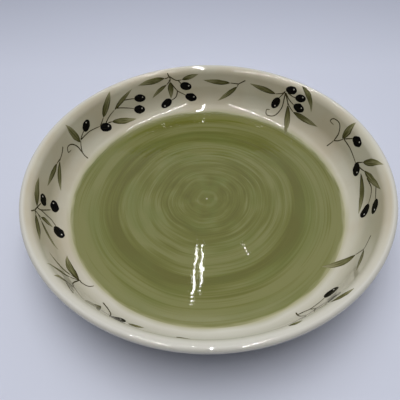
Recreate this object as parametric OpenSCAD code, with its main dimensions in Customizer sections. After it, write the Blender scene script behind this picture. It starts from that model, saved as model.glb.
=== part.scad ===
// Olive dish: a round, shallow earthenware serving bowl. Its floor is washed green,
// its wall is glazed cream, and sprigs of olive are brushed round the wall.

/* [Dish] */
// Diameter over the rolled rim
dish_d = 330; // [300:1:400]
// Height from the table to the top of the rim
dish_h = 60; // [50:1:75]
// Thickness of the rolled rim's outer edge
rim_d = 6; // [5:0.1:8]
// Radius of the soft lip, where the wall turns over into the rim
lip_r = 11; // [8:0.5:14]
// Diameter of the floor, up to where the knuckle starts
floor_d = 252; // [225:1:262]
// How far the floor sinks from its edge to its middle
floor_dish = 3; // [1:0.5:6]
// Inside radius of the knuckle between floor and wall
knuckle_r = 25; // [15:1:30]
// Thickness of the floor with its glaze
floor_t = 7; // [6:0.5:10]
// Thickness of the wall with its glaze
wall_t = 6.5; // [5:0.1:8]
// Radius of the fillet under the rolled rim
rim_fillet_r = 2; // [1:0.1:4]

/* [Foot] */
// Diameter of the foot ring at the middle of its width
foot_d = 190; // [150:1:210]
// Width of the foot ring
foot_w = 8; // [6:0.5:12]
// Height of the foot ring under the middle of the floor
foot_h = 5; // [4:0.5:8]
// Radius of the foot ring's two worn bottom edges
foot_edge_r = 1.5; // [0.5:0.1:2]
// Radius of the fillets where the ring meets the floor
foot_fillet_r = 3; // [1:0.5:4]
// Height of the bare clay at the foot, wiped clean for the kiln
bare_h = 2; // [1.5:0.1:3]

/* [Glaze and wash] */
// Thickness of the glaze
glaze_t = 0.5; // [0.4:0.05:1]
// Thickness of the green wash, let into the glaze
wash_t = 0.2; // [0.1:0.05:0.3]
// How far the wash goes up the knuckle, as a share of its turn
green_share = 0.235; // [0.1:0.005:0.4]
// Diameter of the light ring that the banding brush left
inner_ring_d = 100; // [60:1:120]
// Diameter of the dark ring that the banding brush left
outer_ring_d = 171; // [150:1:200]
// Width of a banding ring
ring_w = 8; // [4:0.5:12]
// Height of a banding ring over the wash
ring_t = 0.15; // [0.1:0.05:0.3]

/* [Painted sprigs] */
// Length of a common leaf
leaf_l = 30; // [24:0.5:34]
// Greatest width of a common leaf
leaf_w = 6.5; // [4:0.5:7]
// Length of a common olive
olive_l = 13.5; // [11:0.5:14]
// Width of a common olive
olive_w = 9.5; // [7:0.5:10]
// Width of a stem
stem_w = 1.1; // [0.7:0.1:1.3]
// Width of the dab of white light on an olive
light_d = 1.4; // [1:0.1:2.2]
// Thickness of a stroke in its middle
paint_crown = 0.3; // [0.25:0.05:0.5]
// Thickness of a stroke at its edge
paint_edge = 0.15; // [0.1:0.05:0.2]

/* [Hidden] */

// Height of a stroke's underside over the glaze, within the flats of the turned surfaces
paint_fit = 0.03;
// Width of a stroke where it starts and ends
tip_w = 0.4;
// What a stem stops short of the stroke that it comes from or goes to
stem_gap = 0.6;
// What a stroke's underside stays off the lip, whose curve its flats would cut
lip_fit = 0.15;
// Gap between an olive's top and its dab of light
light_fit = 0.1;
// Thickness of a dab of light
light_t = 0.15;

// How far out of the rim the fillet under it goes at most, as a share of the two radii
fillet_out_share = 0.98;
// Angles of the section: a quarter turn, and the lip's slope where it passes into the rim
quarter = 90;
lip_slope = 20;
// Sides of the turned surfaces
turned_sides = 180;
// Steps across the floor, round the knuckle, up the wash's edge, round the lip, round each
// quarter of the rim and round a fillet
floor_steps = 6;
knuckle_steps = 12;
green_steps = 4;
lip_steps = 8;
rim_steps = 8;
fillet_steps = 5;
// Steps along a leaf and along each stretch of a stem, and sides of an olive and of a light
leaf_steps = 12;
stem_steps = 3;
olive_sides = 14;
light_sides = 8;
// Exponents of a leaf's outline: below 1, the first moves the widest place to the foot,
// and the second makes the leaf fuller
leaf_skew = 0.82;
leaf_fullness = 0.9;
// An olive's flat top, as a share of its outline
olive_top_share = 0.65;
// Place of the light on an olive, as shares of its half length and half width
light_shares = [0.45, -0.25];
// Girth radius, and run from the floor to the crest, that the sprigs are drawn for, as
// shares of leaf_l
sprig_girth_share = 4.84;
sprig_height_share = 2.08;

radian = 180 / PI;
rim_r = rim_d / 2;
floor_r = floor_d / 2;
foot_r = foot_d / 2;
// Sprigs are laid out flat on the girth half way between the floor's edge and the rim
unroll_r = (floor_r + dish_d / 2) / 2;

// The section through the wall, with the radius as x and the height as y
function floor_z(r) = foot_h + floor_t + floor_dish * pow(r / floor_r, 2);
function floor_slope_at(r) = atan(2 * floor_dish * r / pow(floor_r, 2));
floor_slope = floor_slope_at(floor_r);
// Points straight down at 0 and straight out at 90 degrees
function heading(angle) = [sin(angle), -cos(angle)];
rim_c = [dish_d / 2 - rim_r, dish_h - rim_r];
lip_bearing = quarter + lip_slope;
lip_c = rim_c - (lip_r - rim_r) * [cos(lip_bearing), sin(lip_bearing)];
// The knuckle is a fillet, limited by the wall: it leaves off before the lip overhangs it
bend_r = min(knuckle_r, lip_c.x - lip_r - floor_r);
bend_c = [floor_r, floor_z(floor_r)] - bend_r * heading(floor_slope);
// The wall's straight stretch touches the knuckle's circle and the lip's
lip_reach = norm(lip_c - bend_c);
wall_bearing = atan2(lip_c.y - bend_c.y, lip_c.x - bend_c.x);
wall_angle = wall_bearing + asin((bend_r + lip_r) / lip_reach);
wall_out = heading(wall_angle);
wall_up = [-wall_out.y, wall_out.x];
straight_run = sqrt(pow(lip_reach, 2) - pow(bend_r + lip_r, 2));
bend_run = bend_r * (wall_angle - floor_slope) / radian;
wall_run = bend_run + straight_run;
crest_run = wall_run + (lip_r * (wall_angle - lip_slope) + rim_r * lip_slope) / radian;
green_angle = floor_slope + green_share * (wall_angle - floor_slope);
// On a smaller girth or a lower wall, the sprigs are squeezed to it
girth_squeeze = min(1, unroll_r / (sprig_girth_share * leaf_l));
height_squeeze = min(1, crest_run / (sprig_height_share * leaf_l));

// Where the fillet under the rim touches the rim and the outside of the wall. It is limited
// by the wall: where that leans out past the rim, it thins towards the fillet
rim_in = lip_r + (rim_c - lip_c) * wall_out;
fillet_out = min(wall_t + rim_fillet_r - rim_in, fillet_out_share * (rim_r + rim_fillet_r));
fillet_down = sqrt(pow(rim_r + rim_fillet_r, 2) - pow(fillet_out, 2));
fillet_c = rim_c + fillet_out * wall_out - fillet_down * wall_up;
fillet_bearing = atan2(fillet_c.y - rim_c.y, fillet_c.x - rim_c.x);

function polar(c, r, angle) = c + r * [cos(angle), sin(angle)];
function arc(c, r, from, to, steps, first = 0) =
    [for (k = [first:steps]) polar(c, r, from + (to - from) * k / steps)];
function reversed(path) = [for (k = [len(path) - 1:-1:0]) path[k]];

// Each path lies at a depth under the visible surface, and runs from the middle of the
// floor to the outermost point of the rim, or from there under the dish to the foot
function floor_path(depth) =
    [for (k = [0:floor_steps - 1]) let (r = floor_r * k / floor_steps) [r, floor_z(r) - depth]];
function knuckle_path(from, to, depth_from, depth_to, steps, first = 0) =
    [for (k = [first:steps])
        let (share = k / steps, depth = depth_from + (depth_to - depth_from) * share)
        bend_c + (bend_r + depth) * heading(from + (to - from) * share)];
function rim_path(depth) = concat(
    arc(lip_c, lip_r - depth, quarter + wall_angle, lip_bearing, lip_steps),
    arc(rim_c, rim_r - depth, lip_bearing, quarter, rim_steps, 1),
    arc(rim_c, rim_r - depth, quarter, 0, rim_steps, 1));
function inside_path(depth) = concat(
    floor_path(depth),
    knuckle_path(floor_slope, wall_angle, depth, depth, knuckle_steps),
    rim_path(depth));
// The glaze under the wash, and the wash over it, thinning out at the wash's edge
function wash_bed() = concat(
    floor_path(wash_t),
    knuckle_path(floor_slope, green_angle, wash_t, 0, green_steps));
function wash_face() = concat(
    floor_path(0),
    knuckle_path(floor_slope, green_angle, 0, 0, green_steps));

function underside_z(r) = floor_z(r) - floor_t;
function underside_path(from, to, depth) =
    [for (k = [0:floor_steps]) let (r = from + (to - from) * k / floor_steps) [r, underside_z(r) + depth]];
// A fillet between the foot ring and the underside, round a centre beside the ring
function foot_fillet_c(r) =
    let (slope = floor_slope_at(r), touch = r - foot_fillet_r * sin(slope))
    [r, underside_z(touch) - foot_fillet_r * cos(slope)];
outer_fillet_c = foot_fillet_c(foot_r + foot_w / 2 + foot_fillet_r);
inner_fillet_c = foot_fillet_c(foot_r - foot_w / 2 - foot_fillet_r);
function outer_fillet(depth) =
    let (from = quarter + floor_slope_at(outer_fillet_c.x))
    arc(outer_fillet_c, foot_fillet_r + depth, from, 2 * quarter, fillet_steps);
function inner_fillet(depth) =
    let (from = quarter + floor_slope_at(inner_fillet_c.x))
    arc(inner_fillet_c, foot_fillet_r + depth, from, 0, fillet_steps);
function outside_path(depth) = concat(
    arc(rim_c, rim_r - depth, 0, fillet_bearing, rim_steps, 1),
    arc(fillet_c, rim_fillet_r + depth, 2 * quarter + fillet_bearing, quarter + wall_angle,
        fillet_steps, 1),
    knuckle_path(wall_angle, floor_slope, wall_t - depth, floor_t - depth, knuckle_steps),
    underside_path(floor_r, outer_fillet_c.x, depth),
    outer_fillet(depth));
function recess_path(depth) = concat(
    underside_path(0, inner_fillet_c.x, depth),
    inner_fillet(depth));

module turned(path) {
    rotate_extrude($fn = turned_sides) polygon(path);
}

module clay_body() {
    clay_w = foot_w - 2 * glaze_t;
    color("#c9a27c")
    turned(concat(
        inside_path(glaze_t),
        outside_path(glaze_t),
        arc([foot_r + clay_w / 2 - foot_edge_r, foot_edge_r], foot_edge_r, 0, -quarter, fillet_steps),
        arc([foot_r - clay_w / 2 + foot_edge_r, foot_edge_r], foot_edge_r, -quarter, -2 * quarter,
            fillet_steps),
        reversed(recess_path(glaze_t))));
}

module inside_glaze() {
    color("#b5b39a")
    turned(concat(
        wash_bed(),
        knuckle_path(green_angle, wall_angle, 0, 0, knuckle_steps, 1),
        rim_path(0),
        reversed(inside_path(glaze_t))));
}

module green_wash() {
    face = wash_face();
    color("#727247")
    turned(concat(wash_bed(), [for (k = [len(face) - 2:-1:0]) face[k]]));
}

// One ring that the banding brush left on the wash, thickest in its middle
module wash_ring(diameter) {
    inner = (diameter - ring_w) / 2;
    outer = (diameter + ring_w) / 2;
    middle = diameter / 2;
    turned([
        [inner, floor_z(inner) + paint_fit],
        [outer, floor_z(outer) + paint_fit],
        [middle, floor_z(middle) + ring_t]]);
}

module wash_rings() {
    color("#85855a") wash_ring(inner_ring_d);
    color("#5f6039") wash_ring(outer_ring_d);
}

module outside_glaze() {
    skin = outside_path(0);
    bed = outside_path(glaze_t);
    color("#bdbba8")
    turned(concat(
        [[rim_c.x + rim_r, rim_c.y]],
        skin,
        [[foot_r + foot_w / 2, bare_h], [foot_r + foot_w / 2 - glaze_t, bare_h]],
        reversed(bed),
        [[rim_c.x + rim_r - glaze_t, rim_c.y]]));
}

module recess_glaze() {
    color("#bdbba8")
    turned(concat(
        recess_path(0),
        [[foot_r - foot_w / 2, bare_h], [foot_r - foot_w / 2 + glaze_t, bare_h]],
        reversed(recess_path(glaze_t))));
}

// The painted sprigs. A sprig is [turn of its root, climb of its root, leaves, olives,
// stems]. The turn is in degrees from the right, and the climb is a share of crest_run.
// Places in a sprig are shares of leaf_l from its root: along the turn, then up the wall.
// A leaf is [foot, tip, bow to the left, width]. An olive is [middle, direction from its
// stem to its far end, length, width]. A stem is the points that it runs through.
top_left_shares = [106, 0.85,
    [[[0.18, -0.04], [1.2, -0.05], 0, 1.05], [[0.14, -0.3], [0.78, -0.7], 0.03, 0.7],
        [[0, -0.22], [0.05, -0.88], -0.02, 1], [[-0.45, -0.2], [-1.08, -0.03], 0, 0.85]],
    [[[-0.58, -0.47], -160, 1, 1], [[-0.75, -0.93], -160, 1.05, 1], [[0.27, -1.03], -25, 1.1, 0.95]],
    [[[0.05, 0.14], [0.01, 0], [-0.02, -0.1], [0, -0.22]], [[0.04, -0.02], [0.1, -0.05], [0.18, -0.05]],
        [[0.03, -0.16], [0.06, -0.22], [0.14, -0.3]],
        [[-0.05, -0.03], [-0.13, -0.12], [-0.26, -0.2], [-0.45, -0.2]],
        [[-0.32, -0.25], [-0.4, -0.34]], [[-0.11, -0.3], [-0.17, -0.43], [-0.29, -0.64], [-0.54, -0.82]],
        [[-0.26, -0.67], [-0.16, -0.84], [0.02, -0.94]]]];
upper_left_shares = [157.6, 0.315,
    [[[-0.21, 0.35], [-0.08, 1.22], 0, 1.2], [[-1.51, 0.53], [-2.13, 1.27], 0, 1.2],
        [[-2.03, 0.56], [-2.92, 1.03], 0, 0.8], [[-1.75, 0.21], [-2.72, -0.12], 0.03, 1.1]],
    [[[-0.76, 0.67], 140, 0.98, 1], [[-1.43, 0.16], -150, 1.05, 1.05],
        [[-3.12, 0.58], -160, 1, 0.95], [[-2.98, 0.17], -160, 1, 1]],
    [[[0.03, -0.25], [0, 0], [-0.1, 0.17], [-0.28, 0.38]],
        [[0.01, 0.1], [-0.01, 0.3], [0.14, 0.55], [0.34, 0.6], [0.44, 0.45], [0.27, 0.42]],
        [[-0.3, 0.42], [-0.4, 0.49], [-0.57, 0.58]],
        [[-0.29, 0.37], [-0.53, 0.39], [-0.8, 0.4], [-1.2, 0.31]],
        [[-1.3, 0.36], [-1.4, 0.44], [-1.51, 0.53]],
        [[-1.58, 0.32], [-1.65, 0.38], [-1.82, 0.47], [-2.03, 0.56]],
        [[-2.56, 0.7], [-2.68, 0.69], [-2.9, 0.64]], [[-2.22, 0.53], [-2.4, 0.46], [-2.78, 0.28]],
        [[-1.66, 0.25], [-1.75, 0.21]]]];
left_pair_shares = [163.4, 0.68,
    [[[0.62, -0.17], [1.58, -0.17], -0.03, 0.85], [[0.48, -0.24], [1.36, -0.74], -0.02, 0.8]],
    [],
    [[[0, 0], [0.18, -0.12], [0.48, -0.22]], [[0.46, -0.19], [0.62, -0.17]]]];
left_shares = [196.3, 0.8,
    [[[-0.25, -0.09], [-1.2, 0.03], 0, 1.05], [[0.08, -0.29], [0.13, -0.78], -0.1, 0.8],
        [[0.12, -0.04], [1.06, 0.01], -0.06, 0.95], [[0.18, -0.28], [0.97, -0.88], 0, 0.65]],
    [[[-0.63, -0.37], 170, 0.9, 1], [[-0.72, -0.88], 173, 0.98, 1.05], [[0.24, -1.04], -26, 1.02, 1.05]],
    [[[0.12, 0.15], [0, 0]], [[0, 0], [-0.17, -0.12], [-0.4, -0.27]],
        [[-0.17, -0.13], [-0.21, -0.31], [-0.48, -0.74]],
        [[-0.2, -0.34], [-0.19, -0.55], [-0.15, -0.8], [0, -0.97]],
        [[0.02, -0.02], [0.04, -0.15], [0.08, -0.29]], [[0.02, 0], [0.12, -0.04]],
        [[0.1, -0.18], [0.18, -0.28]]]];
lower_left_shares = [221.5, 0.287,
    [[[-0.2, 0.17], [-0.83, 0.8], -0.03, 0.5], [[-0.11, 0.28], [-0.22, 1.27], 0, 0.6],
        [[0.27, 0.82], [0.2, 1.3], 0, 0.8], [[-0.06, 0.01], [-0.98, -0.04], -0.07, 1.15],
        [[1.14, 0.92], [1.13, 0.28], 0, 0.75], [[2.14, 0.2], [2.44, 0.06], 0.05, 0.55]],
    [[[1.78, 0.3], -58, 1, 0.9]],
    [[[0, 0.03], [-0.2, 0.17]], [[0, 0.07], [-0.11, 0.28]],
        [[0, 0], [0.12, 0], [0.3, -0.1], [0.37, -0.26]],
        [[0.02, 0.05], [0.1, 0.27], [0.28, 0.5], [0.64, 0.72], [1.02, 0.99]],
        [[0.27, 0.82], [0.35, 0.72], [0.46, 0.64]], [[0.42, 1], [0.62, 1.12], [0.87, 1.22]],
        [[1.02, -0.04], [1.29, 0.05], [1.5, 0.2], [1.6, 0.42]]]];
front_shares = [260.6, 0.34,
    [[[0, 0], [0.65, 0.2], 0, 0.8]],
    [],
    []];
lower_right_shares = [299.1, 0.305,
    [[[0.2, 0.63], [0.33, 1.05], -0.05, 0.55], [[0.4, 1.16], [1, 1.34], 0.03, 0.6],
        [[-0.74, 1.21], [-0.4, 1.24], 0, 0.5]],
    [[[1.11, 0.17], 18, 1.05, 1], [[0.74, 0.88], 32, 0.7, 0.8]],
    [[[0.04, -0.12], [0, 0], [0, 0.15], [0.08, 0.32]],
        [[0.03, 0.01], [0.19, 0.04], [0.35, 0.1], [0.66, 0.12], [0.88, 0.12]],
        [[0.36, 0.11], [0.43, 0.38], [0.6, 0.74]], [[0.37, 0.32], [0.26, 0.46], [0.2, 0.63]]]];
right_pair_shares = [335.3, 0.615,
    [[[-0.47, -0.5], [-1.18, -1.28], 0, 1.1], [[-0.43, -0.18], [-1.3, 0.06], 0.03, 0.85]],
    [],
    [[[0, 0], [-0.23, -0.1], [-0.41, -0.18]], [[-0.38, -0.2], [-0.42, -0.35], [-0.47, -0.5]]]];
right_shares = [24.8, 0.473,
    [[[-0.25, 0.29], [-0.29, 1.03], 0.03, 1.2], [[-1.5, 0.4], [-2.09, 1.01], 0, 1.1],
        [[-1.77, 0.3], [-2.83, 0.71], 0.03, 1], [[-1.72, 0.13], [-3.06, -0.34], 0, 0.95]],
    [[[-0.81, 0.64], 173, 0.98, 1], [[-1.47, 0.04], -140, 1.02, 1],
        [[-3.08, -0.08], -134, 1.05, 0.95], [[-3.21, 0.37], -153, 1.04, 0.95]],
    [[[0.09, -0.32], [0.05, -0.17], [0, 0]],
        [[0, 0.02], [-0.02, 0.34], [0.14, 0.62], [0.42, 0.62], [0.5, 0.47], [0.3, 0.44]],
        [[-0.02, 0.02], [-0.16, 0.12], [-0.29, 0.28]], [[-0.35, 0.35], [-0.6, 0.58]],
        [[-0.32, 0.29], [-0.7, 0.28], [-1.02, 0.2], [-1.25, 0.14]], [[-1.34, 0.24], [-1.5, 0.4]],
        [[-1.58, 0.2], [-1.67, 0.24], [-1.77, 0.3]],
        [[-2.15, 0.26], [-2.34, 0.31], [-2.48, 0.34], [-2.68, 0.27], [-2.88, 0.13]],
        [[-2.62, 0.52], [-2.76, 0.49], [-2.99, 0.42]]]];
top_right_shares = [54.4, 0.766,
    [[[0.33, -0.22], [1.37, -0.08], -0.02, 0.95], [[-0.24, -0.46], [-0.78, -1.56], 0.04, 1.05],
        [[-0.52, -0.62], [-1.66, -0.62], 0.03, 1], [[-0.48, 0.42], [-1.19, -0.3], -0.12, 0.9]],
    [[[0.24, -0.56], -71, 1.08, 0.95], [[-0.2, 0.11], 167, 0.92, 0.85],
        [[-0.62, -0.03], 158, 0.88, 0.9], [[-0.68, -0.38], 179, 0.98, 0.95]],
    [[[0, 0], [0.1, -0.12], [0.33, -0.22]], [[0.06, -0.14], [0.1, -0.21], [0.16, -0.31]],
        [[0, -0.06], [-0.02, -0.25], [-0.02, -0.66], [0.12, -1.03], [0.42, -1.1], [0.51, -0.92],
            [0.35, -0.87]],
        [[-0.18, -0.05], [-0.3, -0.09], [-0.42, -0.1]], [[-0.03, -0.05], [-0.22, -0.24], [-0.44, -0.37]],
        [[-0.2, -0.3], [-0.34, -0.5], [-0.52, -0.62]], [[-0.08, -0.24], [-0.24, -0.46]]]];
top_pair_shares = [72.6, 0.768,
    [[[0.56, -0.18], [1.58, -0.1], -0.03, 0.95], [[0.28, -0.3], [1, -0.92], -0.03, 0.85]],
    [],
    [[[0, 0], [0.15, -0.11], [0.25, -0.18]], [[0.24, -0.18], [0.28, -0.3]],
        [[0.28, -0.17], [0.56, -0.18]]]];
sprig_shares = [top_left_shares, upper_left_shares, left_pair_shares, left_shares, lower_left_shares,
    front_shares, lower_right_shares, right_pair_shares, right_shares, top_right_shares, top_pair_shares];

// The visible inside at a run along the section from the floor's edge, lifted off it
function section_point(run, lift) =
    run < 0 ? [floor_r + run, floor_z(floor_r + run) + lift]
    : run < bend_run ? bend_c + (bend_r - lift) * heading(floor_slope + run / bend_r * radian)
    : run < wall_run ? bend_c + (bend_r - lift) * wall_out + (run - bend_run) * wall_up
    : let (over = run - wall_run, gap = min(lip_fit, pow(over, 2) / (2 * lip_r)))
        polar(lip_c, lip_r + gap + lift, quarter + wall_angle - over / lip_r * radian);
// A point of a sprig, given as [along the turn, up the wall, lift off the wall]
function on_wall(sprig, p) =
    let (turn = sprig[0] + p.x * girth_squeeze / unroll_r * radian,
        q = section_point(sprig[1] * crest_run + p.y * height_squeeze, p.z))
    [q.x * cos(turn), q.x * sin(turn), q.y];

// A closed skin over rings of points, as [points, faces], with a middle point at each end
function skin(rings, first, last) =
    let (n = len(rings[0]), m = len(rings), end = 1 + m * n)
    [
        concat([first], [for (ring = rings) each ring], [last]),
        concat(
            [for (j = [0:n - 1]) [0, 1 + j, 1 + (j + 1) % n]],
            [for (i = [0:m - 2], j = [0:n - 1], half = [0, 1])
                let (a = 1 + i * n + j, b = 1 + i * n + (j + 1) % n)
                half == 0 ? [a, b + n, b] : [a, a + n, b + n]],
            [for (j = [0:n - 1]) [end, end - n + (j + 1) % n, end - n + j]])
    ];
function mean(points) = [for (k = [0:2]) [for (p = points) p[k]] * [for (p = points) 1 / len(points)]];
function stroke(rings) = skin(rings, mean(rings[0]), mean(rings[len(rings) - 1]));

// The section across a brush stroke: flat under, and highest in the middle
function leaf_ring(middle, across) = [
    [each (middle + across), paint_fit], [each middle, paint_fit], [each (middle - across), paint_fit],
    [each (middle - across), paint_edge], [each middle, paint_crown], [each (middle + across), paint_edge]];
function stem_ring(middle, across) = [
    [each (middle + across), paint_fit], [each (middle - across), paint_fit], [each middle, paint_crown]];

function leaf_outline(t) = pow(sin(180 * pow(t, leaf_skew)), leaf_fullness);
function leaf_rings(leaf) =
    let (foot = leaf[0] * leaf_l, along = leaf[1] * leaf_l - foot, side = [-along.y, along.x])
    [for (k = [0:leaf_steps])
        let (t = k / leaf_steps,
            middle = foot + along * t + side * (4 * leaf[2] * t * (1 - t)),
            width = tip_w + (leaf_w * leaf[3] - tip_w) * leaf_outline(t))
        leaf_ring(middle, side / norm(side) * width / 2)];

// A smooth line through a stem's points, short of the strokes at its two ends
function moved_to(p, q) = p + (q - p) / norm(q - p) * stem_gap;
function shortened(points) =
    let (last = len(points) - 1)
    [for (k = [0:last])
        k == 0 ? moved_to(points[0], points[1])
        : k == last ? moved_to(points[last], points[last - 1])
        : points[k]];
function through(a, b, c, d, t) =
    b + ((c - a) * t + (2 * a - 5 * b + 4 * c - d) * t * t + (3 * b - a - 3 * c + d) * t * t * t) / 2;
function smooth(points) =
    let (last = len(points) - 1)
    [for (i = [0:last - 1], k = [i == 0 ? 0 : 1:stem_steps])
        through(points[max(i - 1, 0)], points[i], points[i + 1], points[min(i + 2, last)], k / stem_steps)];
function stem_rings(stem) =
    let (line = smooth(shortened([for (p = stem) p * leaf_l])), last = len(line) - 1)
    [for (k = [0:last])
        let (along = line[min(k + 1, last)] - line[max(k - 1, 0)],
            width = k == 0 || k == last ? tip_w : stem_w)
        stem_ring(line[k], [-along.y, along.x] / norm(along) * width / 2)];

function olive_frame(olive) =
    let (dir = [cos(olive[1]), sin(olive[1])])
    [olive[0] * leaf_l, dir * olive_l * olive[2] / 2, [-dir.y, dir.x] * olive_w * olive[3] / 2];
function oval(frame, share, lift, sides) =
    [for (k = [0:sides - 1])
        let (angle = 360 * k / sides)
        [each (frame[0] + frame[1] * share * cos(angle) + frame[2] * share * sin(angle)), lift]];
function olive_rings(frame) = [
    oval(frame, olive_top_share, paint_fit, olive_sides), oval(frame, 1, paint_fit, olive_sides),
    oval(frame, 1, paint_edge, olive_sides), oval(frame, olive_top_share, paint_crown, olive_sides)];
function light_frame(olive) =
    let (frame = olive_frame(olive))
    [frame[0] + frame[1] * light_shares.x + frame[2] * light_shares.y, [light_d / 2, 0], [0, light_d / 2]];
light_low = paint_crown + light_fit;

// All strokes of one kind as one polyhedron of separate closed skins
module strokes(kinds) {
    points = [for (one = kinds) each one[0]];
    faces = [for (i = 0, n = 0; i < len(kinds); n = n + len(kinds[i][0]), i = i + 1)
        each [for (face = kinds[i][1]) [for (k = face) k + n]]];
    polyhedron(points, faces);
}
function laid(sprig, rings) = [for (ring = rings) [for (p = ring) on_wall(sprig, p)]];

module painted_leaves() {
    color("#4d4a26")
    strokes([for (sprig = sprig_shares, leaf = sprig[2]) stroke(laid(sprig, leaf_rings(leaf)))]);
}

module painted_stems() {
    color("#5a4c30")
    strokes([for (sprig = sprig_shares, stem = sprig[4]) stroke(laid(sprig, stem_rings(stem)))]);
}

module painted_olives() {
    color("#26221f")
    strokes([for (sprig = sprig_shares, olive = sprig[3])
        let (frame = olive_frame(olive))
        skin(laid(sprig, olive_rings(frame)),
            on_wall(sprig, [each frame[0], paint_fit]), on_wall(sprig, [each frame[0], paint_crown]))]);
}

module olive_lights() {
    color("#f2efe4")
    strokes([for (sprig = sprig_shares, olive = sprig[3])
        let (frame = light_frame(olive),
            rings = [
                oval(frame, 1, light_low, light_sides),
                oval(frame, 1, light_low + light_t, light_sides)])
        stroke(laid(sprig, rings))]);
}

clay_body();
inside_glaze();
green_wash();
wash_rings();
painted_stems();
painted_leaves();
painted_olives();
olive_lights();
outside_glaze();
recess_glaze();
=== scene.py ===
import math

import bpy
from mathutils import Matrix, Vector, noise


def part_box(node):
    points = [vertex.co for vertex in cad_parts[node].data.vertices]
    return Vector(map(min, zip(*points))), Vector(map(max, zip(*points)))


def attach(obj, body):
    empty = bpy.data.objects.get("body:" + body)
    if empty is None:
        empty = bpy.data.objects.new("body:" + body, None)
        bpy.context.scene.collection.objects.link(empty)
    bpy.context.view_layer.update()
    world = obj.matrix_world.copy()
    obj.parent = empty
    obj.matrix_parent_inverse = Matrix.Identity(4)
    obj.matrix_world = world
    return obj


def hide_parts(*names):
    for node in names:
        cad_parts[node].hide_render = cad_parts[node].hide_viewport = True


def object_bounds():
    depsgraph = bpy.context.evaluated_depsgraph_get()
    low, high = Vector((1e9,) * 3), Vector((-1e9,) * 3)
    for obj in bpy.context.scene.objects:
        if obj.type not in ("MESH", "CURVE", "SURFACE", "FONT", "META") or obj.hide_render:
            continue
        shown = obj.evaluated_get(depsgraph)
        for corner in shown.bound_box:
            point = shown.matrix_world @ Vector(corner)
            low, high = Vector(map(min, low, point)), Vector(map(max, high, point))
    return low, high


bl_info = {
    "name": "Olive dish",
    "version": (1, 0, 0),
    "blender": (4, 5, 0),
    "location": "View3D > Sidebar > Olive dish",
    "description": "A glazed earthenware serving bowl with a green washed floor and brushed olive sprigs",
    "category": "Add Mesh",
}

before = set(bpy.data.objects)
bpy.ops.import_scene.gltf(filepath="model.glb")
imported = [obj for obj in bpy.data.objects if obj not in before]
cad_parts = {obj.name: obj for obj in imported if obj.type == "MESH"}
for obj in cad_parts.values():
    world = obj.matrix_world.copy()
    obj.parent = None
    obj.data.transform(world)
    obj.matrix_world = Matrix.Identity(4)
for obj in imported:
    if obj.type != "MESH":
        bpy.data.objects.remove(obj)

CAD_BOX = [list(corner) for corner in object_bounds()]
MM = 0.001

# Turned shapes: steps of a full turn, and points along each stretch of the section
SPIN_STEPS = 360
FLOOR_POINTS = 30
WASH_EDGE_POINTS = 8
KNUCKLE_POINTS = 30
WALL_POINTS = 12
LIP_POINTS = 14
RIM_POINTS = 14
FILLET_POINTS = 6
# Points closer than this are one point, and faces that meet flatter than this are smooth
SAME_PLACE = 0.002 * MM
SMOOTH_ANGLE = math.radians(40)
# The slope at which the soft lip passes into the rim's outer edge
LIP_SLOPE = math.radians(20)
# How often the rim sways inwards and dips, and where in the noise the dips start
SWAYS = 1.7
DIPS = 2.3
DIP_SEED = Vector((5, 0, 0))

# Brush strokes: points round and along a stroke
LEAF_POINTS = (14, 36)
STEM_POINTS = (8, 40)
OLIVE_POINTS = (28, 18)
LIGHT_POINTS = (12, 8)

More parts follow.
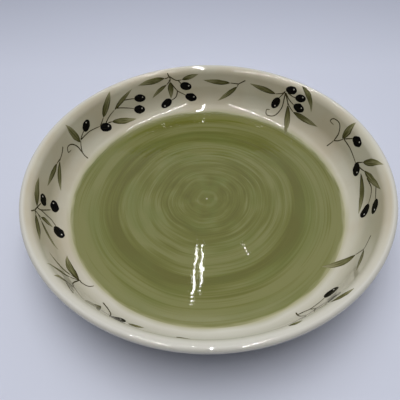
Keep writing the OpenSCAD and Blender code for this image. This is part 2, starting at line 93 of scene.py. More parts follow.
# The sprigs, as in the dish's section and laid out flat on the girth half way up the wall.
# A sprig is [turn of its root, climb of its root, leaves, olives, stems]. The turn is in
# degrees from the right, and the climb is a share of the run to the crest. Places in a sprig are
# shares of leaf_l from its root: along the turn, then up the wall. A leaf is [foot, tip, bow
# to the left, width]. An olive is [middle, direction from its stem to its far end,
# length, width]. A stem is the points that it runs through.
SPRIG_SHARES = [
    [106, 0.85,
     [[(0.18, -0.04), (1.2, -0.05), 0, 1.05], [(0.14, -0.3), (0.78, -0.7), 0.03, 0.7],
      [(0, -0.22), (0.05, -0.88), -0.02, 1], [(-0.45, -0.2), (-1.08, -0.03), 0, 0.85]],
     [[(-0.58, -0.47), -160, 1, 1], [(-0.75, -0.93), -160, 1.05, 1], [(0.27, -1.03), -25, 1.1, 0.95]],
     [[(0.05, 0.14), (0.01, 0), (-0.02, -0.1), (0, -0.22)], [(0.01, -0.01), (0.1, -0.05), (0.18, -0.05)],
      [(0, -0.12), (0.05, -0.22), (0.14, -0.3)], [(0, 0), (-0.13, -0.12), (-0.26, -0.2), (-0.45, -0.2)],
      [(-0.3, -0.2), (-0.42, -0.36)], [(-0.02, -0.24), (-0.12, -0.43), (-0.27, -0.64), (-0.56, -0.84)],
      [(-0.24, -0.62), (-0.16, -0.84), (0.06, -0.96)]]],
    [157.6, 0.315,
     [[(-0.21, 0.35), (-0.08, 1.22), 0, 1.2], [(-1.51, 0.53), (-2.13, 1.27), 0, 1.2],
      [(-2.03, 0.56), (-2.92, 1.03), 0, 0.8], [(-1.75, 0.21), (-2.72, -0.12), 0.03, 1.1]],
     [[(-0.75, 0.67), 140, 0.98, 1], [(-1.43, 0.16), -150, 1.05, 1.05],
      [(-3.12, 0.58), -160, 1, 0.95], [(-2.98, 0.17), -160, 1, 1]],
     [[(0.03, -0.25), (0, 0), (-0.1, 0.17), (-0.28, 0.4)],
      [(0, 0), (-0.02, 0.3), (0.14, 0.55), (0.34, 0.6), (0.44, 0.45), (0.27, 0.42)],
      [(-0.28, 0.4), (-0.4, 0.49), (-0.6, 0.6)],
      [(-0.28, 0.4), (-0.53, 0.41), (-0.8, 0.41), (-1.25, 0.31)],
      [(-1.25, 0.31), (-1.4, 0.43), (-1.51, 0.53)],
      [(-1.5, 0.28), (-1.63, 0.37), (-1.8, 0.47), (-2.03, 0.56)],
      [(-2.5, 0.74), (-2.68, 0.7), (-2.92, 0.64)], [(-2.14, 0.58), (-2.36, 0.49), (-2.8, 0.27)],
      [(-1.6, 0.25), (-1.75, 0.21)]]],
    [163.4, 0.68,
     [[(0.62, -0.17), (1.58, -0.17), -0.03, 0.85], [(0.46, -0.22), (1.36, -0.74), -0.02, 0.8]],
     [],
     [[(0, 0), (0.18, -0.12), (0.46, -0.22)], [(0.4, -0.19), (0.62, -0.17)]]],
    [196.3, 0.8,
     [[(-0.2, -0.1), (-1.2, 0.03), 0, 1.05], [(0.08, -0.29), (0.12, -0.85), -0.1, 0.8],
      [(0.12, -0.04), (1.06, 0.01), -0.06, 0.95], [(0.18, -0.28), (0.97, -0.88), 0, 0.65]],
     [[(-0.63, -0.37), 170, 0.9, 1], [(-0.72, -0.88), 173, 0.98, 1.05], [(0.24, -1.04), -26, 1.02, 1.05]],
     [[(0.12, 0.15), (0, 0)], [(0, 0), (-0.17, -0.11), (-0.45, -0.29)],
      [(-0.17, -0.11), (-0.21, -0.31), (-0.52, -0.77)],
      [(-0.19, -0.24), (-0.19, -0.55), (-0.15, -0.8), (0.04, -0.98)],
      [(0, 0), (0.04, -0.15), (0.08, -0.29)], [(0, 0), (0.12, -0.04)], [(0.04, -0.15), (0.18, -0.28)]]],
    [221.5, 0.287,
     [[(-0.2, 0.17), (-0.83, 0.8), -0.03, 0.5], [(-0.11, 0.28), (-0.22, 1.27), 0, 0.6],
      [(0.27, 0.82), (0.2, 1.3), 0, 0.8], [(-0.02, 0.01), (-0.98, -0.04), -0.07, 1.15],
      [(1.13, 0.16), (1.14, 1.08), 0, 1.5], [(2.05, 0.22), (2.44, 0.06), 0.05, 0.8]],
     [[(1.78, 0.3), -58, 1.05, 1]],
     [[(0, 0), (-0.2, 0.17)], [(0, 0.02), (-0.11, 0.28)], [(0, 0), (0.12, 0), (0.3, -0.1), (0.37, -0.26)],
      [(0.01, 0.01), (0.1, 0.27), (0.28, 0.5), (0.64, 0.72), (1.06, 1)],
      [(0.27, 0.82), (0.35, 0.72), (0.48, 0.62)],
      [(0.36, 0.93), (0.62, 1.12), (0.87, 1.22)], [(1.02, -0.04), (1.29, 0.05), (1.5, 0.2), (1.62, 0.46)]]],
    [260.6, 0.34,
     [[(0, 0), (0.65, 0.2), 0, 0.8]],
     [],
     []],
    [299.1, 0.305,
     [[(0.2, 0.63), (0.33, 1.05), -0.05, 0.55], [(0.4, 1.16), (1, 1.34), 0.03, 0.6],
      [(-0.74, 1.21), (-0.4, 1.24), 0, 0.5]],
     [[(1.11, 0.17), 18, 1.05, 1], [(0.74, 0.88), 32, 0.7, 0.8]],
     [[(0.04, -0.12), (0, 0), (0, 0.15), (0.08, 0.32)],
      [(0, 0), (0.19, 0.04), (0.35, 0.1), (0.66, 0.12), (0.9, 0.12)],
      [(0.35, 0.1), (0.43, 0.38), (0.62, 0.78)], [(0.38, 0.3), (0.26, 0.46), (0.2, 0.63)]]],
    [335.3, 0.615,
     [[(-0.47, -0.5), (-1.18, -1.28), 0, 1.1], [(-0.43, -0.18), (-1.3, 0.06), 0.03, 0.85]],
     [],
     [[(0, 0), (-0.23, -0.1), (-0.43, -0.18)], [(-0.4, -0.18), (-0.42, -0.35), (-0.47, -0.5)]]],
    [24.8, 0.473,
     [[(-0.25, 0.29), (-0.29, 1.03), 0.03, 1.2], [(-1.5, 0.4), (-2.09, 1.01), 0, 1.1],
      [(-1.77, 0.3), (-2.83, 0.71), 0.03, 1], [(-1.72, 0.13), (-3.06, -0.34), 0, 0.95]],
     [[(-0.81, 0.64), 173, 0.98, 1], [(-1.47, 0.04), -140, 1.02, 1],
      [(-3.08, -0.08), -134, 1.05, 0.95], [(-3.21, 0.37), -153, 1.04, 0.95]],
     [[(0.09, -0.32), (0.05, -0.17), (0, 0)],
      [(0, 0), (-0.02, 0.34), (0.14, 0.62), (0.42, 0.62), (0.5, 0.47), (0.3, 0.44)],
      [(0, 0), (-0.16, 0.12), (-0.31, 0.32)], [(-0.31, 0.32), (-0.62, 0.6)],
      [(-0.31, 0.32), (-0.7, 0.28), (-1.02, 0.2), (-1.28, 0.13)], [(-1.3, 0.18), (-1.5, 0.4)],
      [(-1.5, 0.18), (-1.67, 0.24), (-1.79, 0.3)],
      [(-2.05, 0.28), (-2.3, 0.32), (-2.48, 0.34), (-2.68, 0.27), (-2.93, 0.07)],
      [(-2.56, 0.56), (-2.76, 0.49), (-3.02, 0.42)]]],
    [54.4, 0.766,
     [[(0.33, -0.22), (1.37, -0.08), -0.02, 0.95], [(-0.24, -0.46), (-0.78, -1.56), 0.04, 1.05],
      [(-0.52, -0.62), (-1.66, -0.62), 0.03, 1], [(-0.48, 0.42), (-1.19, -0.3), -0.12, 0.9]],
     [[(0.24, -0.55), -71, 1.08, 0.95], [(-0.2, 0.12), 167, 0.92, 0.95],
      [(-0.62, -0.02), 158, 0.92, 0.95], [(-0.68, -0.38), 179, 0.98, 1.05]],
     [[(0, 0), (0.1, -0.12), (0.33, -0.22)], [(0.01, -0.03), (0.07, -0.15), (0.18, -0.35)],
      [(-0.01, -0.04), (-0.03, -0.25), (-0.04, -0.66), (0.12, -1.03), (0.42, -1.1), (0.51, -0.92),
       (0.37, -0.87)],
      [(-0.1, -0.02), (-0.31, -0.08), (-0.46, -0.07)], [(-0.03, -0.04), (-0.22, -0.24), (-0.5, -0.38)],
      [(-0.03, -0.06), (-0.24, -0.41), (-0.52, -0.62)], [(-0.02, -0.08), (-0.16, -0.28), (-0.24, -0.46)]]],
    [72.6, 0.768,
     [[(0.56, -0.18), (1.58, -0.1), -0.03, 0.95], [(0.28, -0.29), (1, -0.92), -0.03, 0.85]],
     [],
     [[(0, 0), (0.15, -0.11), (0.24, -0.18), (0.28, -0.29)], [(0.24, -0.18), (0.56, -0.18)]]],
]
# Where in a sprig its strokes are
LEAVES, OLIVES, STEMS = 2, 3, 4
# The dab of light on an olive, as shares of its half length and half width
LIGHT_SHARES = (0.45, -0.25)
# How a leaf is drawn: below 1, the skew moves its widest place to the foot
LEAF_SKEW = 0.8
LEAF_FULLNESS = 0.95
# How a stem is drawn: how soon it is at its full width from either end, its width at the foot and
# what it loses to the tip, its height, and how far each way its direction is taken
STEM_ENDS = 12
STEM_FOOT_SHARE = 1.1
STEM_TAPER_SHARE = 0.35
STEM_CROWN_SHARE = 0.6
STEM_LOOK = 0.02
TINY = 1e-6
# How much the edge of a stroke wavers, how often along it, and how many times that along a stem
WAVER_SHARE = 0.14
WAVERS = 5.0
STEM_WAVERS = 3
# What sets the noise of one stroke apart from the next one's
TONE_SPREAD = 3.7
SEED_SPREAD = 9
LEAF_SEED = 7
STEM_SEED = 5
OLIVE_SEED = 3
# A stroke's own places, kept on its points, and the bristles' lines along them
BRUSH_LAYER = "brush"
BRISTLES = (2.5, 7.0, 40.0)

# The inputs of a node that mixes colours, and its output
MIX_SHARE, MIX_A, MIX_B = 0, 6, 7
MIX_RESULT = 2
# The spans that most of a noise lies in: for swings, for clouds and for the wash's streaks
NOISE_SPAN = (0.3, 0.7)
CLOUD_SPAN = (0.35, 0.65)
STREAK_SPAN = (0.2, 0.8)
# The wash's tone from the middle out to its edge: 0 is deepest, 1 is thinnest
WASH_SHARES = [
    (0.0, 0.7), (0.02, 0.35), (0.045, 0.4), (0.066, 0.85), (0.09, 0.4), (0.12, 0.26), (0.16, 0.27),
    (0.2, 0.45), (0.28, 0.46), (0.31, 0.38), (0.35, 0.42), (0.365, 0.62), (0.39, 0.54), (0.46, 0.72),
    (0.53, 0.93), (0.59, 0.9), (0.62, 0.74), (0.64, 0.5), (0.655, 0.15), (0.69, 0.05), (0.72, 0.2),
    (0.76, 0.45), (0.8, 0.72), (0.825, 0.92), (0.9, 0.95), (1.0, 1.0)]
# Its streaks: their width across, their sweep round the dish, and how much they change the tone
WASH_STREAKS = ((8 * MM, 0.9, 0.8), (3.2 * MM, 0.8, 0.65), (1.2 * MM, 1.3, 0.85), (20 * MM, 0.6, 0.6))
# A leaf's tone from its foot to its tip, in the same way
LEAF_SHARES = [(0.0, 0.1), (0.2, 0.4), (0.5, 0.6), (0.75, 0.8), (1.0, 1.0)]
# What finer relief adds to the waves of a glaze: hairlines in the cream, and pits in the wash
HAIR_SHARE = 0.15
PIT_SHARE = 0.08
# Brushwork is duller than bare glaze where it is seen from low down
PAINT_GLOSS = 0.2
PAINT_IOR = 1.2

# The tubes over the dish: the place of the near end and of the far end, as shares of their height,
# and a share of their common power
TUBE_SHARES = {
    "right_tube": ((0.19, -0.5), (0.19, 0.35), 1),
    "middle_tube": ((-0.022, 0.48), (-0.014, 0.625), 0.4),
    "middle_left_tube": ((-0.046, 0.445), (-0.032, 0.63), 0.4),
    "middle_near_tube": ((0.012, -0.38), (0.012, 0.33), 1),
    "left_tube": ((-0.21, -0.5), (-0.21, 0.35), 1),
}
BULB_SHARES = (0.126, 0.607)
# The light from all round, as shares of its strength: from the far side, and from the camera's side
AIR_FAR_SHARE = 1.35
AIR_NEAR_SHARE = 0.1
# How far toward either side it goes on changing, as a share of the whole way
AIR_SPAN = 0.8


def paint(*levels):
    """A colour as a screen shows it, each level 0 to 255, as the linear value that Blender keeps."""
    return tuple(
        ((level / 255 + 0.055) / 1.055) ** 2.4 if level > 10 else level / 255 / 12.92 for level in levels)


def length(name, about, default):
    return bpy.props.FloatProperty(
        name=name, description=about, default=default, unit="LENGTH", precision=5)


def colour(name, about, default):
    return bpy.props.FloatVectorProperty(
        name=name, description=about, default=default, subtype="COLOR", min=0, max=1)


def spot(name, about, default):
    return bpy.props.FloatVectorProperty(
        name=name, description=about, default=default, subtype="XYZ", unit="LENGTH")


def number(name, about, default):
    return bpy.props.FloatProperty(name=name, description=about, default=default)


def across(node):
    """The diameter of a turned CAD node."""
    low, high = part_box(node)
    return high.x - low.x


class DishSizes(bpy.types.PropertyGroup):
    """Sizes of the dish and of its brush strokes"""
    dish_d: length("Dish diameter", "Diameter over the rolled rim", CAD_BOX[1][0] - CAD_BOX[0][0])
    dish_h: length("Dish height", "Height from the table to the top of the rim", CAD_BOX[1][2])
    rim_d: length("Rim thickness", "Thickness of the rolled rim's outer edge", 6 * MM)
    lip_r: length("Lip radius", "Radius of the soft lip, where the wall turns over into the rim", 11 * MM)
    floor_d: length("Floor diameter", "Diameter of the floor, up to where the knuckle starts", 252 * MM)
    floor_dish: length("Floor dishing", "How far the floor sinks to its middle", 3 * MM)
    knuckle_r: length("Knuckle radius", "Inside radius between floor and wall", 25 * MM)
    floor_t: length("Floor thickness", "Thickness of the floor with its glaze", 7 * MM)
    wall_t: length("Wall thickness", "Thickness of the wall with its glaze", 6.5 * MM)
    rim_fillet_r: length("Rim fillet", "Radius of the fillet under the rolled rim", 2 * MM)
    foot_d: length("Foot diameter", "Diameter of the foot ring at the middle of its width", 190 * MM)
    foot_w: length("Foot width", "Width of the foot ring", 8 * MM)
    foot_h: length("Foot height", "Height of the foot ring under the middle of the floor", 5 * MM)
    foot_fillet_r: length("Foot fillet", "Radius where the foot ring meets the floor", 3 * MM)
    bare_h: length("Bare foot", "Height of the bare clay at the foot", 2 * MM)
    glaze_t: length("Glaze thickness", "Thickness of the glaze", 0.5 * MM)
    wash_t: length("Wash thickness", "Thickness of the green wash over the glaze", 0.04 * MM)
    green_d: length("Wash diameter", "Diameter of the green wash's edge", across("green_wash"))
    nub_r: length("Nub radius", "Radius of the nub left in the middle by the wheel", 2.6 * MM)
    nub_h: length("Nub height", "Height of that nub", 0.25 * MM)
    uneven: length("Unevenness", "How far the rim wavers inwards and down", 0.3 * MM)
    leaf_l: length("Leaf length", "Length of a common leaf", 30 * MM)
    leaf_w: length("Leaf width", "Greatest width of a common leaf", 6.5 * MM)
    olive_l: length("Olive length", "Length of a common olive", 13.5 * MM)
    olive_w: length("Olive width", "Width of a common olive", 9.5 * MM)
    stem_w: length("Stem width", "Width of a stem", 1.25 * MM)
    light_d: length("Light width", "Width of the dab of light on an olive", 1.5 * MM)
    crown: length("Stroke thickness", "How far a stroke stands over the glaze in its middle", 0.12 * MM)
    edge: length("Stroke edge", "How far a stroke's edge stands over the glaze", 0.03 * MM)
    sink: length("Stroke depth", "How far a stroke goes down into the glaze", 0.08 * MM)


class DishColours(bpy.types.PropertyGroup):
    """Colours of the clay, the glazes and the brushwork"""
    cream: colour("Cream", "The glaze of the wall", paint(196, 191, 170))
    cream_warm: colour("Warm cream", "The glaze where it lies thicker", paint(190, 180, 156))
    # Painted light: a paler cream for the near side of the wall, where more light falls on it
    cream_painted_light: colour("Pale cream", "The glaze at the near side", paint(208, 206, 194))
    # The cream laid on the outer half of the rim, cooler and whiter than the wall's
    cream_cool: colour("Cool cream", "The glaze where it lies thinner, and on the rim", paint(200, 197, 186))
    green: colour("Green", "The wash at its common strength", paint(101, 102, 38))
    green_deep: colour("Deep green", "The wash where the brush lapped", paint(91, 90, 26))
    green_thin: colour("Thin green", "The wash where it is thin", paint(117, 117, 65))
    green_cool: colour("Cool green", "The wash where its green is stronger", paint(96, 106, 42))
    green_edge: colour("Green edge", "The wash where it runs out on the cream", paint(166, 162, 125))
    leaf: colour("Leaf", "A leaf at its common strength", paint(96, 94, 58))
    leaf_deep: colour("Deep leaf", "A leaf's foot and edges", paint(52, 48, 24))
    leaf_thin: colour("Thin leaf", "A leaf's tip, where the brush ran dry", paint(140, 136, 102))
    stem: colour("Stem", "The stems and tendrils", paint(78, 70, 48))
    olive: colour("Olive", "The olives", paint(9, 8, 11))
    olive_sheen: colour("Olive sheen", "The green in the olives", paint(32, 30, 20))
    light: colour("Light", "The dabs of light on the olives", paint(190, 188, 180))
    outer: colour("Outer cream", "The glaze of the outside", paint(196, 192, 176))
    clay: colour("Clay", "The bare clay of the foot", paint(190, 148, 110))
    table: colour("Table", "The floor that the dish stands on", paint(207, 210, 223))
    # Painted shade: a darker table colour for further away, where less light falls
    table_far_shaded: colour("Far table", "The floor further away", paint(150, 154, 170))
    air: colour("Air", "The light that comes from all round", paint(216, 221, 234))


class DishStage(bpy.types.PropertyGroup):
    """The camera and the lamps"""
    camera_place: spot("Camera place", "Where the camera stands", (0, -0.24302, 0.31165))
    camera_down: number("Camera down", "Degrees that the camera looks down", 51.12)
    camera_turn: number("Camera turn", "Degrees that the camera is turned to its left", 1.61)
    camera_roll: number("Camera roll", "Degrees that the camera is rolled", -1.61)
    camera_lens: number("Camera lens", "Focal length on a sensor of 36 mm, in mm", 34.65)
    tube_height: length("Tube height", "Height of the tubes", 1.0)
    tube_w: length("Tube width", "Width of a tube", 0.003)
    tube_power: number("Tube power", "Power of a tube for each metre, in watts", 2.1)
    bulb_power: number("Bulb power", "Power of the bulb, in watts", 0.012)
    ceiling_place: spot(
        "Ceiling place", "Middle of the white ceiling that throws light back", (-0.15, 0.6, 2.2))
    ceiling_size: length("Ceiling size", "Width of that ceiling", 3.0)
    ceiling_power: number("Ceiling power", "Power that the ceiling throws back, in watts", 19.0)
    air_strength: number("Air strength", "Strength of the light from all round", 0.48)
    air_seen: number("Air seen", "Strength of that light where the camera looks straight at it", 0.7)
    table_size: length("Table size", "Width of the floor that the dish stands on", 4.0)


class Section:
    """The section through the dish's wall, with the radius as x and the height as y."""

    def __init__(self, size):
        self.size = size
        self.rim_r = size.rim_d / 2
        self.floor_r = size.floor_d / 2
        self.foot_r = size.foot_d / 2
        self.unroll_r = (self.floor_r + size.dish_d / 2) / 2
        self.floor_slope = self.slope_at(self.floor_r)
        floor_edge = Vector((self.floor_r, self.floor_z(self.floor_r)))
        self.knuckle_c = floor_edge - size.knuckle_r * heading(self.floor_slope)
        self.rim_c = Vector((size.dish_d / 2 - self.rim_r, size.dish_h - self.rim_r))
        self.lip_c = self.rim_c + (size.lip_r - self.rim_r) * heading(LIP_SLOPE)
        reach = self.lip_c - self.knuckle_c
        bearing = math.atan2(reach.y, reach.x)
        self.wall_angle = bearing + math.asin((size.knuckle_r + size.lip_r) / reach.length)
        self.wall_out = heading(self.wall_angle)
        self.wall_up = Vector((-self.wall_out.y, self.wall_out.x))
        self.knuckle_run = size.knuckle_r * (self.wall_angle - self.floor_slope)
        self.wall_run = self.knuckle_run + math.sqrt(reach.length ** 2 - (size.knuckle_r + size.lip_r) ** 2)
        self.crest_run = self.wall_run + size.lip_r * (self.wall_angle - LIP_SLOPE) + self.rim_r * LIP_SLOPE
        self.green_angle = math.asin((size.green_d / 2 - self.knuckle_c.x) / size.knuckle_r)
        out = size.wall_t + size.rim_fillet_r - size.lip_r - (self.rim_c - self.lip_c).dot(self.wall_out)
        down = math.sqrt((self.rim_r + size.rim_fillet_r) ** 2 - out ** 2)
        self.fillet_c = self.rim_c + out * self.wall_out - down * self.wall_up
        to_fillet = self.fillet_c - self.rim_c
        self.fillet_bearing = math.atan2(to_fillet.y, to_fillet.x)

    def floor_z(self, r):
        size = self.size
        return size.foot_h + size.floor_t + size.floor_dish * (r / self.floor_r) ** 2

    def slope_at(self, r):
        return math.atan(2 * self.size.floor_dish * r / self.floor_r ** 2)

    def point(self, run, lift):
        """The inside at a run along the section from the floor's edge, lifted off it."""
        if run < 0:
            r = self.floor_r + run
            return Vector((r, self.floor_z(r) + lift))
        size = self.size
        radius = size.knuckle_r - lift
        if run < self.knuckle_run:
            return self.knuckle_c + radius * heading(self.floor_slope + run / size.knuckle_r)
        if run < self.wall_run:
            return self.knuckle_c + radius * self.wall_out + (run - self.knuckle_run) * self.wall_up
        over = (run - self.wall_run) / size.lip_r
        return self.lip_c - (size.lip_r + lift) * heading(self.wall_angle - over)

    def on_wall(self, sprig, flat, lift):
        """A point of a sprig that is laid out flat, put on the wall and lifted off it."""
        turn = math.radians(sprig[0]) + flat.x / self.unroll_r
        place = self.point(sprig[1] * self.crest_run + flat.y, lift)
        return Vector((place.x * math.cos(turn), place.x * math.sin(turn), place.y))

    def floor_path(self, depth):
        radii = [self.floor_r * k / FLOOR_POINTS for k in range(FLOOR_POINTS)]
        return [Vector((r, self.floor_z(r) + self.nub(r) - depth)) for r in radii]

    def nub(self, r):
        """The height of the nub that the wheel left in the middle."""
        return self.size.nub_h * math.exp(-(r / self.size.nub_r) ** 2)

    def knuckle_path(self, start, end, depth_start, depth_end, points):
        path = []
        for k in range(points + 1):
            share = k / points
            radius = self.size.knuckle_r + depth_start + (depth_end - depth_start) * share
            path.append(self.knuckle_c + radius * heading(start + (end - start) * share))
        return path

    def wash_edge_path(self, depth):
        """From the floor up the knuckle to the wash's edge, where the depth runs out."""
        return self.knuckle_path(self.floor_slope, self.green_angle, depth, 0, WASH_EDGE_POINTS)

    def straight_path(self, depth):
        """The points between the two ends of the wall's straight stretch."""
        foot = self.knuckle_c + (self.size.knuckle_r + depth) * self.wall_out
        run = self.wall_run - self.knuckle_run
        return [foot + self.wall_up * run * k / WALL_POINTS for k in range(1, WALL_POINTS)]

    def rim_path(self, depth):
        lip_end = math.pi / 2 + LIP_SLOPE
        lip = arc(self.lip_c, self.size.lip_r - depth, math.pi / 2 + self.wall_angle, lip_end, LIP_POINTS)
        return lip + arc(self.rim_c, self.rim_r - depth, lip_end, 0, 2 * RIM_POINTS)[1:]

    def underside_path(self, start, end, depth):
        radii = [start + (end - start) * k / FLOOR_POINTS for k in range(FLOOR_POINTS)]
        return [Vector((r, self.floor_z(r) - self.size.floor_t + depth)) for r in radii]

    def foot_fillet(self, side, depth):
        """The fillet beside the foot ring, from the underside to the ring: side is 1 outside, -1 inside."""
        size = self.size
        r = self.foot_r + side * (size.foot_w / 2 + size.foot_fillet_r)
        slope = self.slope_at(r)
        touch = r - size.foot_fillet_r * math.sin(slope)
        z = self.floor_z(touch) - size.floor_t - size.foot_fillet_r * math.cos(slope)
        end = math.pi if side > 0 else 0
        return arc(Vector((r, z)), size.foot_fillet_r + depth, math.pi / 2 + slope, end, FILLET_POINTS)

    def outside_path(self, depth):
        size = self.size
        fillet_start = math.pi + self.fillet_bearing
        fillet_end = math.pi / 2 + self.wall_angle
        knuckle = self.knuckle_path(
            self.wall_angle, self.floor_slope, size.wall_t - depth, size.floor_t - depth, KNUCKLE_POINTS)
        fillet = self.foot_fillet(1, depth)
        return (arc(self.rim_c, self.rim_r - depth, 0, self.fillet_bearing, RIM_POINTS)
                + arc(self.fillet_c, size.rim_fillet_r + depth, fillet_start, fillet_end, FILLET_POINTS)[1:]
                + knuckle + self.underside_path(self.floor_r, fillet[0].x, depth)[1:] + fillet)

    def recess_path(self, depth):
        fillet = self.foot_fillet(-1, depth)
        return self.underside_path(0, fillet[0].x, depth) + fillet

    def wiped_coat(self, path, side):
        """A coat of glaze that was wiped off the foot ring's bottom: side is 1 outside, -1 inside."""
        depth = self.size.glaze_t
        r = self.foot_r + side * self.size.foot_w / 2
        edge = [Vector((x, self.size.bare_h)) for x in (r, r - side * depth)]
        return path(0) + edge + path(depth)[::-1]


def heading(angle):
    """Straight down at 0, straight out at a quarter turn."""
    return Vector((math.sin(angle), -math.cos(angle)))


def arc(centre, radius, start, end, points):
    angles = [start + (end - start) * k / points for k in range(points + 1)]
    return [centre + radius * Vector((math.cos(a), math.sin(a))) for a in angles]


def face_outwards():
    """Turns the faces of the mesh in edit mode outwards, and leaves edit mode."""
    bpy.ops.mesh.select_all(action="SELECT")
    bpy.ops.mesh.normals_make_consistent(inside=False)
    bpy.ops.object.mode_set(mode="OBJECT")


def turned(name, outline):
    """A shape turned on the dish's axis: its outline is drawn point by point and spun."""
    bpy.ops.object.select_all(action="DESELECT")
    bpy.ops.mesh.primitive_plane_add(size=MM)
    piece = bpy.context.object
    piece.name = name
    piece.data.name = name
    bpy.ops.object.mode_set(mode="EDIT")
    bpy.ops.mesh.select_all(action="SELECT")
    bpy.ops.mesh.merge(type="CENTER")
    bpy.ops.transform.translate(value=(outline[0].x, 0, outline[0].y))
    for here, there in zip(outline, outline[1:]):
        step = there - here
        bpy.ops.mesh.extrude_vertices_move(TRANSFORM_OT_translate={"value": (step.x, 0, step.y)})
    bpy.ops.mesh.select_all(action="SELECT")
    bpy.ops.mesh.remove_doubles(threshold=SAME_PLACE)
    bpy.ops.mesh.spin(steps=SPIN_STEPS, angle=2 * math.pi, center=(0, 0, 0), axis=(0, 0, 1))
    bpy.ops.mesh.select_all(action="SELECT")
    bpy.ops.mesh.remove_doubles(threshold=SAME_PLACE)
    face_outwards()
    bpy.ops.object.shade_smooth_by_angle(angle=SMOOTH_ANGLE)
    return piece


def chance(place):
    """A value from 0 to 1 that changes softly from place to place, the same every time."""
    return 0.5 + 0.5 * noise.noise(place)


def settle_rim(piece, size):
    """The rim of a hand-made dish wavers: it is drawn a little inwards and down, most at its top."""
    start = size.dish_h - size.rim_d
    for vertex in piece.data.vertices:
        share = min(max((vertex.co.z - start) / size.rim_d, 0), 1)
        if share == 0:
            continue
        out = Vector((vertex.co.x, vertex.co.y, 0)).normalized()
        vertex.co -= out * size.uneven * chance(out * SWAYS) * share
        vertex.co.z -= size.uneven * chance(out * DIPS + DIP_SEED) * share


def finish_piece(piece, node_names, material):
    """Gives a finished piece its material and its body, and hides the CAD nodes that it stands for."""
    piece.data.materials.clear()
    piece.data.materials.append(material)
    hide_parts(*node_names)
    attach(piece, "root")


class Graph:
    """The shader nodes of a material or a world, added one by one and joined as they are added."""

    def __init__(self, name, owners="materials"):
        self.owner = getattr(bpy.data, owners).new(name)
        self.owner.use_nodes = True
        self.tree = self.owner.node_tree
        self.tree.nodes.clear()

    def add(self, kind, inputs=(), **settings):
        node = self.tree.nodes.new("ShaderNode" + kind)
        for key, value in settings.items():
            setattr(node, key, value)
        for key, value in dict(inputs).items():
            if isinstance(value, bpy.types.NodeSocket):
                self.tree.links.new(value, node.inputs[key])
            else:
                node.inputs[key].default_value = value
        return node

    def place(self):
        return self.add("TexCoord").outputs["Object"]

    def coordinate(self, axis):
        return self.add("SeparateXYZ", {0: self.place()}).outputs[axis]

    def math(self, operation, a, b=0.0):
        return self.add("Math", {0: a, 1: b}, operation=operation).outputs[0]

    def vector(self, operation, a, b=(0, 0, 0)):
        node = self.add("VectorMath", {0: a, 1: b}, operation=operation)
        return node.outputs["Value" if operation == "LENGTH" else "Vector"]

    def scaled(self, vector, scale):
        node = self.add("VectorMath", {0: vector, "Scale": scale}, operation="SCALE")
        return node.outputs["Vector"]

    def noise(self, vector, scale=1.0, detail=2.0, roughness=0.5):
        inputs = {"Vector": vector, "Scale": scale, "Detail": detail, "Roughness": roughness}
        return self.add("TexNoise", inputs).outputs["Fac"]

    def spots(self, width, detail=2.0, roughness=0.5):
        """Noise all over a piece, in spots of about this width."""
        return self.noise(self.place(), 1 / width, detail, roughness)

    def ramp(self, fac, stops):
        """A colour ramp. A stop is (position, colour) or (position, tone)."""
        node = self.add("ValToRGB", {"Fac": fac})
        elements = node.color_ramp.elements
        while len(elements) < len(stops):
            elements.new(1)
        for element, (position, tint) in zip(elements, stops):
            element.position = position
            tint = tuple(tint) if hasattr(tint, "__len__") else (tint, tint, tint)
            element.color = (*tint, 1)
        return node.outputs["Color"]

    def mix(self, fac, a, b):
        """Two colours, each a socket's or a plain one, mixed by a share of the second."""
        a, b = (tint if isinstance(tint, bpy.types.NodeSocket) else (*tint, 1) for tint in (a, b))
        node = self.add("Mix", {MIX_SHARE: fac, MIX_A: a, MIX_B: b}, data_type="RGBA")
        return node.outputs[MIX_RESULT]

    def spread(self, value, low, high, at_low=0.0, at_high=1.0):
        """A value that runs from low to high, made to run from at_low to at_high."""
        spans = {"From Min": low, "From Max": high, "To Min": at_low, "To Max": at_high}
        return self.add("MapRange", {"Value": value, **spans}).outputs["Result"]

    def swing(self, noise_value, at_low, at_high):
        """Noise over the span where most of it lies, made to run from at_low to at_high."""
        return self.spread(noise_value, *NOISE_SPAN, at_low, at_high)

    def waves(self):
        """The soft unevenness of a glaze, which bends what it mirrors."""
        return self.spots(14 * MM, detail=1.0)

    def bump(self, height, distance):
        return self.add("Bump", {"Height": height, "Distance": distance}).outputs["Normal"]

    def glazed(self, base, roughness, normal=None, gloss=0.5, ior=1.5):
        """The shader of a fired glaze over a colour."""
        inputs = {"Base Color": base, "Roughness": roughness, "IOR": ior, "Specular IOR Level": gloss}
        shader = self.add("BsdfPrincipled", inputs)
        if normal is not None:
            self.tree.links.new(normal, shader.inputs["Normal"])
        self.add("OutputMaterial", {"Surface": shader.outputs["BSDF"]})
        return self.owner


class Rings(Graph):
    """The nodes of a material with rings, as a coat that was brushed on while the dish turned."""

    def __init__(self, name):
        super().__init__(name)
        flat = self.vector("MULTIPLY", self.place(), (1, 1, 0))
        self.radius = self.vector("LENGTH", flat)
        self.direction = self.vector("NORMALIZE", flat)

    def streaks(self, width, sweep, detail=1.0, radius=None):
        """Streaks that run round the dish: width across, sweep round."""
        along = self.scaled(self.direction, 1 / sweep)
        out = self.math("MULTIPLY", radius or self.radius, 1 / width)
        place = self.vector("ADD", along, self.add("CombineXYZ", {"Z": out}).outputs[0])
        return self.noise(place, detail=detail)

    def ragged(self, width, sweep):
        """The radius, made to waver by a millimetre either way, so that an edge on it is ragged."""
        return self.math("ADD", self.radius, self.swing(self.streaks(width, sweep), -MM, MM))


